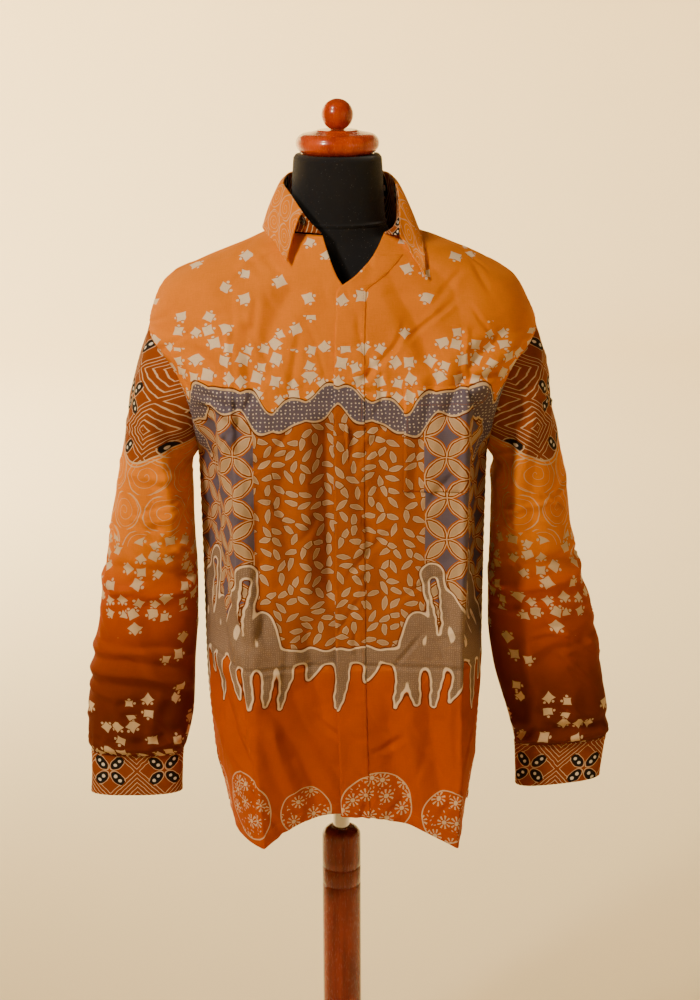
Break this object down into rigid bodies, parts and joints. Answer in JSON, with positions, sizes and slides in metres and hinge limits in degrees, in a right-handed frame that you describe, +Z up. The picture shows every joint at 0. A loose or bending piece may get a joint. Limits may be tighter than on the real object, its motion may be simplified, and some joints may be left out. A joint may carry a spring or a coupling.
{
  "type": "batik shirt on a dress form stand",
  "caption": "Long-sleeved batik shirt with an open collar, covered placket and chest pocket, worn by a limbless dress form on a height-adjustable turned wooden stand.",
  "frame": {"origin": "centre of the stand's flat underside, on the pole's axis", "axes": "+Z up the pole, -Y out of the shirt's front, +X towards the wearer's left"},
  "size_m": [0.6793, 0.4, 1.6201],
  "materials": {
    "batik_cloth": "wax-resist batik cotton in orange and rust, with cream, grey and blue-grey figures",
    "batik_sleeve": "the same cotton, sleeve figures",
    "batik_collar": "the same cotton, interlined",
    "button": "black, glossy",
    "jersey": "black cotton jersey, stretched",
    "turned_wood": "red-brown stain under gloss varnish",
    "chrome": "polished chrome plate"
  },
  "bodies": {
    "stand": {"stand_base": "turned_wood", "stand_pole": "turned_wood"},
    "form": {"height_tube": "chrome", "dress_form": "jersey", "neck_cap": "turned_wood", "cap_finial": "turned_wood", "front_left": "batik_cloth", "front_right": "batik_cloth", "back": "batik_cloth", "placket": "batik_cloth", "chest_pocket": "batik_cloth", "sleeve_left": "batik_sleeve", "sleeve_right": "batik_sleeve", "cuff_left": "batik_sleeve", "cuff_right": "batik_sleeve", "collar_stand": "batik_collar", "collar_leaf": "batik_collar", "collar_button": "button", "cuff_button_left": "button", "cuff_button_right": "button"}
  },
  "joints": [
    {"name": "height_slide", "type": "slide", "parent": "stand", "child": "form", "axis": [0, 0, 1], "range_m": [-0.07, 0.2]}
  ]
}
